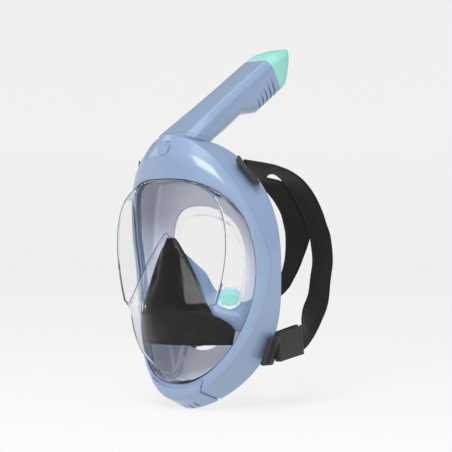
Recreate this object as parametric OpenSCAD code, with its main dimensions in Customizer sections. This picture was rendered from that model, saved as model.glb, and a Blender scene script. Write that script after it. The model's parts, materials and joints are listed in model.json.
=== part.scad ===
// Full-face snorkel mask with a dry-top snorkel and a four-point head strap.
// +X is the wearer's left, -Y is the front, +Z is up. The origin is the centre of the
// face-seal opening. Every outline of the body is an oval whose angle runs from the top
// towards +X, and its depth is a function of its place.

/* [Mask body] */
// Width of the body across its rear edge
mask_w = 180; // [172:1:186]
// Height of the brow above the origin
brow_h = 134; // [132:1:137]
// Depth of the chin below the origin
chin_h = 137; // [134:1:140]
// Distance from the face-seal plane forward to the lens
lens_depth = 60; // [57:1:63]
// Wall thickness of the frame shells
frame_wall = 3; // [2.5:0.1:4]
// Thickness of the clear visor
visor_wall = 2.4; // [2:0.1:3]
// Thickness of the silicone skirt
skirt_wall = 2.2; // [1.8:0.1:3]

/* [Snorkel] */
// Length of the snorkel along its own axis
snorkel_l = 174; // [168:1:180]
// Angle of the snorkel back from the vertical
snorkel_tilt = 56; // [54:1:58]
// Wall thickness of the snorkel
tube_wall = 2.2; // [1.8:0.1:2.6]
// How far the float rises to shut the air inlet
float_lift = 5; // [3:1:5]

/* [Valves] */
// Outer diameter of an inhale valve seat
inhale_d = 26; // [22:1:26]
// Outer diameter of the purge valve seat
purge_d = 22; // [18:1:24]

/* [Brow button] */
// Diameter of the release button
button_d = 14; // [10:0.5:15]

/* [Strap] */
// Thickness of the strap webbing
strap_t = 2.4; // [2:0.1:3]
// Height of a strap clip
clip_h = 26; // [24:1:28]

/* [Hidden] */
$fn = 48;

steps = 72;                 // sections round the body
lens_y = -lens_depth;
frame_blue = [0.55, 0.65, 0.80];
mint = [0.58, 0.90, 0.82];
silicone_black = [0.10, 0.10, 0.11];
clear_tint = [0.85, 0.88, 0.90, 0.35];
septum_blue = [0.55, 0.66, 0.85, 0.6];
inner_grey = [0.80, 0.83, 0.88];
clip_grey = [0.20, 0.20, 0.21];

// ---------- general shape functions ----------
function signed_pow(v, e) = sign(v) * pow(abs(v), e);
function mix(a, b, f) = a * (1 - f) + b * f;
function clamp01(v) = min(1, max(0, v));

// Point [x, z] of an oval at angle t from the top; p holds the exponents across and along.
function oval(t, half_w, top, bottom, mid, p_top, p_bottom) =
    let (c = cos(t), s = sin(t), p = c >= 0 ? p_top : p_bottom,
         h = c >= 0 ? top - mid : mid - bottom)
    [half_w * signed_pow(s, 2 / p[0]), mid + h * signed_pow(c, 2 / p[1])];

// Closed solid from sections of equal length, joined end to start when ring is true.
module loft(sections, ring = true) {
    m = len(sections[0]);
    n = len(sections);
    spans = ring ? n : n - 1;
    side = [for (i = [0 : spans - 1], j = [0 : m - 1])
        let (a = i * m + j, b = i * m + (j + 1) % m, i2 = (i + 1) % n,
             c = i2 * m + (j + 1) % m, d = i2 * m + j)
        each [[a, b, c], [a, c, d]]];
    caps = ring ? [] : [[for (j = [m - 1 : -1 : 0]) j], [for (j = [0 : m - 1]) (n - 1) * m + j]];
    polyhedron([for (s = sections) each s], concat(side, caps), convexity = 6);
}

// Closed shell from two matching grids of rows: the outer face and the inner face.
module skin(outer, inner) {
    loft([for (i = [0 : len(outer) - 1])
        concat(outer[i], [for (j = [len(inner[i]) - 1 : -1 : 0]) inner[i][j]])], false);
}

// ---------- outlines of the body ----------
rear_half = mask_w / 2;
ridge_half = rear_half - 2;
rim_half = rear_half - 10;
lens_half = rear_half - 16.4;

function rear_y(c) = c >= 0 ? 3 - 28 * pow(c, 2.2)
                            : 3 + 6 * pow(sin(180 * -c), 2) - 34 * pow(-c, 6);
function rear_at(t, inset = 0, back = 0) =
    let (q = oval(t, rear_half - inset, brow_h - 7 - inset, inset - chin_h, 5, [2.2, 2.25], [1.9, 1.9]))
    [q[0], rear_y(cos(t)) + back, q[1]];

function ridge_y(c) = c >= 0 ? -12 - 48 * pow(c, 1.2) : -12 - 42 * c * c;
function ridge_at(t, inset = 0, back = 0) =
    let (q = oval(t, ridge_half - inset, brow_h - 3 - inset, 10 - chin_h + inset, 8,
                  [1.88, 1.88], [1.92, 1.92]))
    [q[0], ridge_y(cos(t)) + back, q[1]];

function rim_y(x, z) =
    let (rise = z > 30 ? -17 + 7.5 * pow((z - 30) / 58, 2) : -17 + 24 * pow((30 - z) / 141, 1.1))
    lens_y + 50 * pow(abs(x) / rim_half, 2.5) + rise;
function rim_at(t, grow = 0, back = 0) =
    let (q = oval(t, rim_half + grow, brow_h - 46 + grow, 25.6 - chin_h - grow, 8,
                  [2.8, 2.6], [2.4, 1.8]),
         r = oval(t, rim_half, brow_h - 46, 25.6 - chin_h, 8, [2.8, 2.6], [2.4, 1.8]))
    [q[0], rim_y(r[0], r[1]) + back, q[1]];

// Edge of the flat part of the lens, where the visor turns back towards the rim.
function lens_edge(t, scale = 1) =
    let (q = oval(t, lens_half, brow_h - 49, 31 - chin_h, 22, [3, 2.6], [1.7, 1.6]),
         narrow = 1 - 0.2 * clamp01((-32 - q[1]) / 14))
    [q[0] * scale * narrow, 22 + (q[1] - 22) * scale];

// The muzzle stands proud of the lens below a V whose tip is between the eyes.
muzzle_tip = 36;
muzzle_drop = 70;
function muzzle_half(z) = 54 * pow(max(0, muzzle_tip - z) / muzzle_drop, 0.85);
function muzzle_ridge(z) = z > -35 ? lens_y - 4 - 24 * pow((muzzle_tip - z) / 71, 0.9)
                                   : lens_y - 28 + 32 * pow((-35 - z) / 71, 1.8);
function lens_face(x) = lens_y - 5 * (1 - pow(x / lens_half, 2));
function visor_y(x, z) =
    let (half = muzzle_half(max(z, -34)), f = half > 0 ? abs(x) / half : 1)
    z >= muzzle_tip || f >= 1 ? lens_face(x)
                              : mix(muzzle_ridge(z), lens_face(half), pow(f, 1.6));

// ---------- mask body ----------
lens_rings = [0.12, 0.4, 0.65, 0.85, 1];
function visor_row(t, back) = concat(
    [for (s = lens_rings) let (q = lens_edge(t, s)) [q[0], visor_y(q[0], q[1]) + back, q[1]]],
    [let (q = lens_edge(t, 1), r = rim_at(t, -2, 0))
        [mix(q[0], r[0], 0.7), mix(visor_y(q[0], q[1]), r[1], 0.75) + back, mix(q[1], r[2], 0.7)]],
    [rim_at(t, back > 0 ? -3 : -0.5, 1 + back)]);

module visor() color(clear_tint) {
    outer = [for (i = [0 : steps - 1]) visor_row(i * 360 / steps, 0)];
    inner = [for (i = [0 : steps - 1]) visor_row(i * 360 / steps, visor_wall)];
    m = len(outer[0]);
    hub = 2 * steps * m;
    points = concat([for (r = outer) each r], [for (r = inner) each r],
                    [[0, visor_y(0, 22), 22], [0, visor_y(0, 22) + visor_wall, 22]]);
    faces = [for (i = [0 : steps - 1])
        let (k = (i + 1) % steps, a = i * m, b = k * m, c = (steps + i) * m, d = (steps + k) * m)
        each concat(
            [for (j = [0 : m - 2]) each [[a + j, b + j, b + j + 1], [a + j, b + j + 1, a + j + 1],
                                         [c + j, d + j + 1, d + j], [c + j, c + j + 1, d + j + 1]]],
            [[a + m - 1, b + m - 1, d + m - 1], [a + m - 1, d + m - 1, c + m - 1],
             [hub, b, a], [hub + 1, c, d]])];
    polyhedron(points, faces, convexity = 6);
}

chin_span = 27;             // half angle of the chin cover
cover_t = 2;
shell_gap = 0.2;            // joint line between the front and the rear shell
function chin_step(t) = abs(t - 180) < chin_span ? cover_t : 0;

// The band between the rim and the ridge is crowned, most of all across the brow.
function crown_at(t, back = 0) = mix(rim_at(t, 3, 0), ridge_at(t), 0.55)
    - [0, 1.5 + 5 * pow(max(0, cos(t)), 2) - back, 0];

module front_frame() color(frame_blue) difference() {
    loft([for (i = [0 : steps - 1]) let (t = i * 360 / steps, s = chin_step(t)) [
        rim_at(t, 0, -1.5 + s), rim_at(t, 3, -1.5 + s), crown_at(t, s), ridge_at(t, s, s / 2),
        ridge_at(t, frame_wall + s, frame_wall), crown_at(t, frame_wall + s),
        rim_at(t, 2, 3 + s), rim_at(t, 0, 3 + s)]]);
    button_bore();
    socket_cut();
}

module rear_frame() color(frame_blue) difference() {
    loft([for (i = [0 : steps - 1]) let (t = i * 360 / steps, s = chin_step(t)) [
        ridge_at(t, s, s / 2 + shell_gap), rear_at(t, s, -2), rear_at(t, 2 + s, 0),
        rear_at(t, frame_wall + 3, 0), ridge_at(t, frame_wall + s + 1, frame_wall + 1 + shell_gap)]]);
    socket_cut();
}

drain_slots = 5;
drain_pitch = 7;
module chin_cover() color(frame_blue) difference() {
    loft([for (i = [-chin_span + 1 : 6.5 : chin_span - 1]) let (t = 180 + i) [
        rim_at(t, 4, -1.5), crown_at(t), ridge_at(t), rear_at(t, 0, -6),
        rear_at(t, cover_t - 0.1, -6), ridge_at(t, cover_t - 0.1, 0.9), crown_at(t, cover_t - 0.1),
        rim_at(t, 4, cover_t - 1.6)]], false);
    for (i = [0 : drain_slots - 1])
        translate([(i - (drain_slots - 1) / 2) * drain_pitch, lens_y - 8, 12 - chin_h])
            rotate([-60, 0, 0]) translate([-2, 0, -12]) cube([4, 3, 40]);
}

// ---------- soft parts on the face side ----------
function opening_at(t, grow = 0) =
    let (q = oval(t, rear_half - 40 + grow, brow_h - 72 + grow, 57 - chin_h - grow, 5,
                  [2.4, 2.4], [2.2, 2.2]))
    [q[0], q[1]];
function lip_y(t) = -3 - 15 * pow(max(0, cos(t)), 2) - 12 * pow(max(0, -cos(t)), 4);

module face_skirt() color([0.75, 0.76, 0.80, 0.5]) difference() {
    loft([for (i = [0 : steps - 1]) let (t = i * 360 / steps,
        lip = opening_at(t), lip_in = opening_at(t, 1), rear = rear_at(t, 7), root = rim_at(t, -1)) [
        [lip[0], lip_y(t), lip[1]], [rear[0], rear[1] + 1, rear[2]], [root[0], root[1] + 8, root[2]],
        [root[0] * 0.985, root[1] + 8, 5 + (root[2] - 5) * 0.985],
        [rear[0] * 0.965, rear[1] - 3, 5 + (rear[2] - 5) * 0.965],
        [lip_in[0], lip_y(t) - skirt_wall, lip_in[1]]]]);
    place_on_purge() translate([0, 0, -12]) cylinder(d = purge_d + 0.4, h = 24);
}

// The nose cup is a shell: a narrow nose above a wide band that reaches the cheeks.
cup_top = 31;
cup_bottom = -72;
cup_rows = 14;
cup_cols = 16;
function cup_flare(z) = pow(clamp01((-43 - z) / 15), 0.8);
function cup_half(z) = 5 + 43 * pow(clamp01((cup_top - z) / 76), 0.8) + 13 * cup_flare(z)
    - 4.5 * clamp01((-57 - z) / 15);
function cup_front(z) = lens_y - 1 - 12 * pow(clamp01((cup_top - z) / 100), 1.2);
function cup_back(z) = -57 + 12 * clamp01((cup_top - z) / 76) + 14 * cup_flare(z);
function cup_point(z, a, wall) = [(cup_half(z) - wall) * sin(a),
    mix(cup_back(z), cup_front(z) + wall, pow(cos(a), 0.8 + 0.9 * cup_flare(z))), z];
function cup_grid(wall) = [for (k = [0 : cup_rows])
    [for (j = [-cup_cols / 2 : cup_cols / 2])
        cup_point(mix(cup_top, cup_bottom, k / cup_rows), j * 170 / cup_cols, wall)]];
module nose_cup() color(silicone_black) skin(cup_grid(0), cup_grid(skirt_wall));

// Each septum is a ramp beside the nose cup that carries one inhale valve.
valve_x = 46;
valve_y = -25;
valve_z = -28.5;
valve_lean = 36;            // how far the valve looks up
valve_turn = 43;            // how far it looks outwards
septum_outline = [[-27, 30], [-8, 18], [12, 12], [20, 8], [19, -10], [9, -27], [-5, -26],
                  [-21, -6]];
module place_on_valve(side) mirror([side < 0 ? 1 : 0, 0, 0]) translate([valve_x, valve_y, valve_z])
    rotate([0, 0, valve_turn]) rotate([90 - valve_lean, 0, 0]) children();

module septum(side) color(septum_blue) place_on_valve(side) difference() {
    translate([0, 0, -1]) linear_extrude(2) polygon(septum_outline);
    translate([0, 0, -2]) cylinder(d = inhale_d - 5, h = 4);
}
module inhale_seat(side) color(clear_tint) place_on_valve(side)
    translate([0, 0, 1]) valve_grate(inhale_d, 1.6, 4);
module inhale_flap(side) color(mint) place_on_valve(side)
    translate([0, 0, 3.1]) flap_disc(inhale_d - 7);

// Round seat with a rim, radial spokes and a centre boss for the flap stem.
module valve_grate(d, t, spokes) {
    rim_w = 2.5;
    difference() {
        cylinder(d = d, h = t);
        translate([0, 0, -1]) cylinder(d = d - 2 * rim_w, h = t + 2);
    }
    for (k = [0 : spokes - 1]) rotate([0, 0, 45 + k * 360 / spokes])
        translate([2, -0.8, 0]) cube([d / 2 - rim_w - 1.5, 1.6, t]);
    cylinder(d = 5, h = t);
}
module flap_disc(d) cylinder(d = d, h = 0.7);

purge_y = 20 - lens_depth;
purge_z = 23 - chin_h;
purge_tip = 128;            // the purge valve looks forward and down
module place_on_purge() translate([0, purge_y, purge_z]) rotate([purge_tip, 0, 0]) children();
module purge_seat() color(clear_tint) place_on_purge() valve_grate(purge_d, 2, 6);
module purge_flap() color([0.8, 0.82, 0.84]) place_on_purge() translate([0, 0, 2.5])
    flap_disc(purge_d - 10);

// ---------- snorkel ----------
base_y = 24 - lens_depth;
base_z = brow_h - 5;
seam_tilt = 12;             // fall of the seam plane towards the back
seam_half_w = 25;
mouth_half_w = 20;
mouth_half_d = 13;
cap_l = 44;
end_slant = 1.05;           // lean of the end of the cap, per mm of depth
bulge_from = 68;
bulge_run = 20;
bulge_d = 12;
swell_d = 2;                // deeper under side of the plain part of the tube

// Local frame of the snorkel: +Z runs up the tube, +Y is its under side.
module place_on_snorkel() translate([0, base_y, base_z]) rotate([-snorkel_tilt, 0, 0]) children();
function on_snorkel(p) = [p[0],
    base_y + p[1] * cos(snorkel_tilt) + p[2] * sin(snorkel_tilt),
    base_z - p[1] * sin(snorkel_tilt) + p[2] * cos(snorkel_tilt)];

// Half of the tube's section, from the middle of its under side to its flat top.
function half_section(w, top, under) = [[0.3 * w, under], [0.75 * w, under - 1.5],
    [0.96 * w, under - 6], [w, 10 - top], [0.97 * w, 6 - top], [0.72 * w, -top]];
// drop lowers the under side of a section and sink lowers its flat top.
function tube_section(s, inset, slant = 0, w = mouth_half_w, drop = 0, sink = 0) =
    let (h = half_section(w - inset, mouth_half_d - inset - sink, mouth_half_d + drop - inset),
         all = concat(h, [for (i = [len(h) - 1 : -1 : 0]) [-h[i][0], h[i][1]]]))
    [for (q = all) on_snorkel([q[0], q[1], s - slant * q[1]])];
function seam_section(inset, lift) =
    tube_section(lift, inset, -tan(snorkel_tilt - seam_tilt), seam_half_w);
cap_from = snorkel_l - cap_l;

function tube_rows(inset, first, last) = concat([seam_section(inset + (inset > 0 ? 1 : 0), first)],
    [tube_section(35, inset, 0, mouth_half_w + 1.5, swell_d),
     tube_section(bulge_from, inset, 0, mouth_half_w, swell_d),
     tube_section(bulge_from + bulge_run, inset, 0, mouth_half_w, bulge_d),
     tube_section(last, inset, 0, mouth_half_w, bulge_d)]);
// Curved blade that cuts one louvre through both walls and the under side of the tube.
louvre_pitch = 7;
louvre_gap = 2.6;
module louvre_blade(from, to) {
    curve = [for (i = [0 : 4]) let (y = mix(from, to, i / 4))
        [y, 0.008 * pow(max(0, mouth_half_d + bulge_d - y), 1.9)]];
    rotate([90, 0, 90]) linear_extrude(80) polygon(concat(curve,
        [for (i = [4 : -1 : 0]) [curve[i][0], curve[i][1] + (i > 0 ? louvre_gap : 0.4)]]));
}

module snorkel_tube() color(frame_blue) difference() {
    loft(tube_rows(0, 0.3, cap_from), false);
    loft(tube_rows(tube_wall, 0.2, cap_from + 1), false);
    place_on_snorkel() for (k = [0 : 4])
        translate([-40, 0, bulge_from + bulge_run + 3 + k * louvre_pitch])
            louvre_blade(10.5 - 2.1 * k, mouth_half_d + bulge_d + 3);
}

module snorkel_divider() color(inner_grey) place_on_snorkel()
    translate([-mouth_half_w + tube_wall + 0.8, 2, 24])
        cube([2 * (mouth_half_w - tube_wall - 0.8), 1.4, cap_from - 40]);

spigot_w = 34;
spigot_d = 17;
spigot_l = 14;
socket_clear = 0.5;
module stadium(w, d) hull() for (s = [-1, 1]) translate([s * (w - d) / 2, 0]) circle(d = d);
module tube_2d(w, d, t) difference() {
    stadium(w, d);
    stadium(w - 2 * t, d - 2 * t);
}
module snorkel_spigot() color(inner_grey) place_on_snorkel()
    translate([0, 0, -spigot_l]) linear_extrude(spigot_l + 16) tube_2d(spigot_w, spigot_d, 1.8);

// Space that the socket fills in the frame, with the way out of the snorkel's foot.
module socket_cut() {
    loft([seam_section(2.7, -11), seam_section(0.2, -5), seam_section(-0.4, 0.1),
          seam_section(-0.6, 40)], false);
    place_on_snorkel() translate([0, 0, -spigot_l - 5]) linear_extrude(20)
        stadium(spigot_w + 7.5, spigot_d + 7.5);
}
module snorkel_socket() color(frame_blue) difference() {
    union() {
        loft([seam_section(3, -10), seam_section(0.5, -5), seam_section(0, 0)], false);
        place_on_snorkel() translate([0, 0, -spigot_l - 4]) linear_extrude(14)
            stadium(spigot_w + 7, spigot_d + 7);
    }
    place_on_snorkel() {
        translate([0, 0, -spigot_l - 0.5]) linear_extrude(60)
            stadium(spigot_w + 2 * socket_clear, spigot_d + 2 * socket_clear);
        translate([0, 0, -spigot_l - 6]) linear_extrude(20) stadium(spigot_w - 5, spigot_d - 5);
    }
    loft([seam_section(-3, 0), seam_section(-3, 30)], false);
    button_bore();
}
module socket_gasket() color(silicone_black) place_on_snorkel()
    translate([0, 0, -spigot_l - 3.8]) linear_extrude(2.8) tube_2d(spigot_w - 5.2, spigot_d - 5.2, 2);

// ---------- dry top ----------
// The cap narrows and its top falls towards a steep end face.
function cap_row(s, inset, slant, w, sink) = tube_section(s, inset, slant, w, bulge_d, sink);
cap_wall = tube_wall + 0.4;
module dry_top_cap() color(mint) difference() {
    loft([cap_row(cap_from + 0.3, 0, 0, mouth_half_w, 0),
          cap_row(cap_from + 13, 0, 0.27, mouth_half_w - 0.5, 1),
          cap_row(cap_from + 23, 0, 0.47, mouth_half_w - 2, 4),
          cap_row(cap_from + 36, 0.3, 0.85, mouth_half_w - 5, 8),
          cap_row(snorkel_l, 2, end_slant, mouth_half_w - 7.5, 11)], false);
    loft([cap_row(cap_from - 1, cap_wall, 0, mouth_half_w, 0),
          cap_row(cap_from + 13, cap_wall, 0.27, mouth_half_w - 0.5, 1),
          cap_row(cap_from + 23, cap_wall, 0.47, mouth_half_w - 2, 4),
          cap_row(cap_from + 33, cap_wall + 0.3, 0.8, mouth_half_w - 5, 7)], false);
}
float_w = 26;
float_d = 12;
float_l = 10;
float_y = 3;
float_at = cap_from - 2;
module float_cage() color(inner_grey) place_on_snorkel() translate([0, float_y, 0]) {
    for (x = [-1, 1], y = [-1, 1])
        translate([x * (float_w / 2 + 1.4) - 1, y * (float_d / 2 - 2) - 1, float_at - 4])
            cube([2, 2, float_l + float_lift]);
    translate([0, 0, float_at - 6]) linear_extrude(2) tube_2d(float_w + 6, float_d + 4, 4);
}
module float_body() color([0.93, 0.94, 0.95]) place_on_snorkel() translate([0, float_y, float_at])
    linear_extrude(float_l) stadium(float_w, float_d);
module float_seal() color(silicone_black) place_on_snorkel()
    translate([0, float_y, float_at + float_l]) linear_extrude(1.6) stadium(float_w - 4, float_d - 4);
module exhaust_flap() color([0.85, 0.87, 0.88]) place_on_snorkel()
    translate([-12, mouth_half_d + 1, bulge_from + bulge_run + 3]) cube([24, 0.7, 22]);

// ---------- snorkel release ----------
button_z = brow_h - 16.5;
module place_on_button() translate([0, lens_y - 8, button_z]) rotate([90, 0, 0]) children();
module button_bore() place_on_button() translate([0, 0, -24]) cylinder(d = button_d + 0.8, h = 50);
module release_button() color(frame_blue) place_on_button() {
    translate([0, 0, -5]) cylinder(d = button_d, h = 7);
    translate([0, 0, -11]) cylinder(d = 5, h = 6.5);
}
module button_spring() color("silver") place_on_button() translate([0, 0, -10.6])
    for (k = [0 : 2]) translate([0, 0, k]) rotate_extrude() translate([3.6, 0]) circle(d = 0.8);
module snorkel_latch() color(inner_grey) place_on_button() translate([0, 0, -13.4])
    cylinder(d = button_d - 5.5, h = 2.4);

// ---------- head strap ----------
// Pairs of points on the outer and the inner edge of the webbing, from the upper clip over
// the crown and down to the lower clip. The two sides meet between the two forks.
left_route = [
    [[66, -16, 105], [72, -6, 84]], [[60, 18, 104], [58, 12, 88]], [[52, 44, 102], [43, 34, 94]],
    [[44, 72, 98], [25, 66, 96]], [[40, 95, 90], [5, 104, 90]], [[38, 114, 77], [5, 119, 77]],
    [[36, 130, 60], [5, 134, 59]], [[34, 140, 46], [5, 143, 45]], [[34, 147, 32], [5, 148, 32]],
    [[37, 147, 8], [11, 145, 8]], [[42, 137, -14], [18, 133, -10]], [[50, 123, -37], [28, 117, -27]],
    [[60, 100, -54], [42, 92, -40]], [[68, 76, -70], [59, 69, -50]],
    [[72.4, 55, -80.5], [72.3, 52, -57.5]], [[75.1, 30, -84.5], [75.2, 27, -61]],
    [[76.7, 14, -87], [76.8, 12, -63.5]]];
right_route = [
    [[-66, -16, 105], [-72, -6, 84]], [[-60, 18, 104], [-58, 12, 88]], [[-50, 44, 102], [-42, 34, 94]],
    [[-38, 72, 98], [-20, 66, 96]], [[-28, 95, 90], [5, 104, 90]], [[-23, 114, 77], [5, 119, 77]],
    [[-22, 130, 60], [5, 134, 59]], [[-25, 140, 46], [5, 143, 45]], [[-28, 147, 32], [5, 148, 32]],
    [[-31, 149, 8], [-5, 148, 8]], [[-35, 144, -14], [-12, 144, -10]], [[-42, 134, -37], [-22, 138, -27]],
    [[-54, 112, -54], [-38, 112, -42]], [[-68, 78, -68], [-62, 74, -50]],
    [[-72.4, 55, -80.5], [-72.3, 52, -57.5]], [[-75.1, 30, -84.5], [-75.2, 27, -61]],
    [[-76.7, 14, -87], [-76.8, 12, -63.5]]];

// Catmull-Rom point on a list at a real-valued place.
function along(list, u) =
    let (n = len(list) - 1, i = min(floor(u), n - 1), f = u - i,
         a = list[max(i - 1, 0)], b = list[i], c = list[i + 1], d = list[min(i + 2, n)])
    b + 0.5 * f * ((c - a) + f * (2 * a - 5 * b + 4 * c - d + f * (3 * (b - c) + d - a)));
function unit(v) = v / norm(v);
function strap_section(route, u, side) =
    let (p = along(route, u), q = along(route, min(u + 0.1, len(route) - 1)),
         r = along(route, max(u - 0.1, 0)), run = (q[0] + q[1]) - (r[0] + r[1]),
         n = side * unit(cross(run, p[1] - p[0])) * strap_t / 2)
    [p[0] + n, p[1] + n, p[1] - n, p[0] - n];
module strap_run(route, side) {
    sections = [for (u = [0 : 0.25 : len(route) - 1]) strap_section(route, u, side)];
    loft(side > 0 ? sections : [for (s = sections) [s[3], s[2], s[1], s[0]]], false);
}
module head_strap() color([0.14, 0.14, 0.15]) {
    strap_run(left_route, 1);
    strap_run(right_route, -1);
}

// A clip is a thin ribbed plate with a back bar, screwed to the frame.
module clip(at, turn, lean, h) translate(at) rotate([0, 0, turn]) rotate([0, lean, 0]) {
    translate([-2, -7, -h / 2]) cube([4, 14, h]);
    for (k = [0 : 4]) translate([2, -6 + k * 2.6, -h / 2 + 1]) cube([1.2, 1.2, h - 2]);
}
module both_sides() for (side = [0, 1]) mirror([side, 0, 0]) children();
module strap_clips_upper() color(clip_grey) both_sides()
    clip([70, -26, 95], 35, -38, clip_h + 6);
module strap_clips_lower() color(clip_grey) both_sides()
    clip([76.5, 0, -78], 8, 20, clip_h + 4);
keeper_l = 42;
keeper_d = 10;              // depth of the keeper's round end
keeper_wall = 1.8;
keeper_gap = 3.6;           // way out for the webbing
keeper_rise = 8;            // rise of the keeper towards the back
// A keeper is a flattened band, closed in front and open behind round the webbing.
module teardrop(shrink) hull() {
    translate([0, keeper_l - keeper_d / 2]) circle(d = keeper_d - 2 * shrink);
    translate([shrink - 3.5, shrink]) square([7 - 2 * shrink, 12]);
}
module strap_keepers() color(clip_grey) both_sides()
    translate([77, 10, -75.5]) rotate([keeper_rise, 0, 6]) translate([0, 0, -clip_h / 2 - 1])
        linear_extrude(clip_h + 3) difference() {
            teardrop(0);
            teardrop(keeper_wall);
            translate([-keeper_gap / 2, keeper_l - keeper_d]) square([keeper_gap, keeper_d + 1]);
        }

visor();
front_frame();
rear_frame();
chin_cover();
face_skirt();
nose_cup();
septum(1);  // septum_left
septum(-1);  // septum_right
inhale_seat(1);  // inhale_seat_left
inhale_seat(-1);  // inhale_seat_right
inhale_flap(1);  // inhale_flap_left
inhale_flap(-1);  // inhale_flap_right
purge_seat();
purge_flap();
snorkel_socket();
socket_gasket();
snorkel_tube();
snorkel_divider();
snorkel_spigot();
dry_top_cap();
float_cage();
float_body();
float_seal();
exhaust_flap();
release_button();
button_spring();
snorkel_latch();
head_strap();
strap_clips_upper();
strap_clips_lower();
strap_keepers();
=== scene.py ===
"""Full-face snorkel mask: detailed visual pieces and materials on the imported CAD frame.

Shapes are worked out in millimetres with the same outlines as the CAD model and are scaled
to metres when a mesh is made. +X is the wearer's left, -Y is the front and +Z is up.
"""

import json
import math

import bmesh
import bpy
from mathutils import Matrix, Vector


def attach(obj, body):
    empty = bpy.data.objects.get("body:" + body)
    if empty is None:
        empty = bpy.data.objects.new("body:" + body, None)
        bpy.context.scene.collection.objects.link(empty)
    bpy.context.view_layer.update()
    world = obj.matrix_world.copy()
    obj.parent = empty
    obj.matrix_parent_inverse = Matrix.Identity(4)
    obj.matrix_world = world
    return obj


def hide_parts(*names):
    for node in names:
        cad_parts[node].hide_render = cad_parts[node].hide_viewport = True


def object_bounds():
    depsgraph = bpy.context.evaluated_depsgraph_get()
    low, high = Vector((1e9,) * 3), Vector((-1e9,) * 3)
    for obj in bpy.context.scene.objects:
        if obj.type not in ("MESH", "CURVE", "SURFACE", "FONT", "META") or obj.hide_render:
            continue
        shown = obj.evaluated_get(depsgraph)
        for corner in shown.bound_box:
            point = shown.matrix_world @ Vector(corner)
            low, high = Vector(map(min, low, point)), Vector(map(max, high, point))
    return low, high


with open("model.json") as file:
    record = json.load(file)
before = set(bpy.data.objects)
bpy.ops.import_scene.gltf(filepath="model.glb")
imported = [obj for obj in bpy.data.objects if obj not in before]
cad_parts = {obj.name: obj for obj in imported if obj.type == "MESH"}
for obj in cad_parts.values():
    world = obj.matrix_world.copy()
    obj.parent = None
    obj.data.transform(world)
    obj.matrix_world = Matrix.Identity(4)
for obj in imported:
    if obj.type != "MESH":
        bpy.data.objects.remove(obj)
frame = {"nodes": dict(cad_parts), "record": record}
cad_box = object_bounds()
nodes = frame["nodes"]
MM = 0.001

# ---------- driving sizes, in millimetres, as in the CAD model ----------
BROW_H = 134
CHIN_H = 137
LENS_Y = -60
FRAME_WALL = 3
VISOR_WALL = 2.4
SKIRT_WALL = 2.2
REAR_HALF = 90
RIDGE_HALF = 88
RIM_HALF = 80
LENS_HALF = 73.6
SNORKEL_L = 174
SNORKEL_TILT = 56
TUBE_WALL = 2.2
STRAP_T = 2.4
CLIP_H = 26

ROUND_STEPS = 300           # sections round the body
SHARP_ANGLE = 32            # degrees above which an edge stays sharp
CUTTER_REACH = 8            # how far a short cutter reaches past both faces


# ---------- small maths ----------
def sin(degrees):
    return math.sin(math.radians(degrees))


def cos(degrees):
    return math.cos(math.radians(degrees))


def mix(a, b, f):
    return a * (1 - f) + b * f


def clamp01(v):
    return min(1.0, max(0.0, v))


def smooth01(v):
    v = clamp01(v)
    return v * v * (3 - 2 * v)


def signed_pow(v, e):
    return math.copysign(abs(v) ** e, v)


def ring_angles(steps=ROUND_STEPS):
    return [k * 360 / steps for k in range(steps)]


def oval(t, half_w, top, bottom, mid, p_top, p_bottom):
    """Point (x, z) of an oval at angle t from the top towards +X."""
    c, s = cos(t), sin(t)
    p = p_top if c >= 0 else p_bottom
    h = top - mid if c >= 0 else mid - bottom
    return half_w * signed_pow(s, 2 / p[0]), mid + h * signed_pow(c, 2 / p[1])


def catmull(points, u):
    """Catmull-Rom point of a list of vectors at a real-valued place."""
    n = len(points) - 1
    i = min(int(u), n - 1)
    f = u - i
    a, b, c, d = points[max(i - 1, 0)], points[i], points[i + 1], points[min(i + 2, n)]
    return b + 0.5 * f * ((c - a) + f * (2 * a - 5 * b + 4 * c - d + f * (3 * (b - c) + d - a)))


def rounded(corners, radii, arc=4):
    """Closed outline with every corner replaced by a small arc."""
    out = []
    count = len(corners)
    for i, corner in enumerate(corners):
        before, after = corners[i - 1] - corner, corners[(i + 1) % count] - corner
        r = radii[i] if isinstance(radii, (list, tuple)) else radii
        a = corner + before * min(r / max(before.length, 1e-6), 0.46)
        b = corner + after * min(r / max(after.length, 1e-6), 0.46)
        for k in range(arc + 1):
            f = k / arc
            out.append(a * (1 - f) ** 2 + corner * 2 * f * (1 - f) + b * f * f)
    return out


# ---------- mesh making ----------
def add_object(name, bm, material, sharp=SHARP_ANGLE):
    """Object made from bm, whose vertices are in millimetres."""
    bmesh.ops.scale(bm, vec=(MM, MM, MM), verts=bm.verts)
    bmesh.ops.recalc_face_normals(bm, faces=bm.faces)
    mesh = bpy.data.meshes.new(name)
    bm.to_mesh(mesh)
    bm.free()
    mesh.shade_smooth()
    mesh.set_sharp_from_angle(angle=math.radians(sharp))
    obj = bpy.data.objects.new(name, mesh)
    bpy.context.scene.collection.objects.link(obj)
    mesh.materials.append(material)
    return obj


def loft_into(bm, sections, ring=True):
    """Adds a solid from sections of equal length, joined end to start when ring is true."""
    rows = [[bm.verts.new(p) for p in s] for s in sections]
    width = len(rows[0])
    spans = len(rows) if ring else len(rows) - 1
    for i in range(spans):
        a, b = rows[i], rows[(i + 1) % len(rows)]
        for j in range(width):
            k = (j + 1) % width
            bm.faces.new((a[j], b[j], b[k], a[k]))
    if not ring:
        bm.faces.new(rows[0][::-1])
        bm.faces.new(rows[-1])
    return rows


def loft(name, sections, material, ring=True, sharp=SHARP_ANGLE):
    bm = bmesh.new()
    loft_into(bm, sections, ring)
    return add_object(name, bm, material, sharp)


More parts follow.
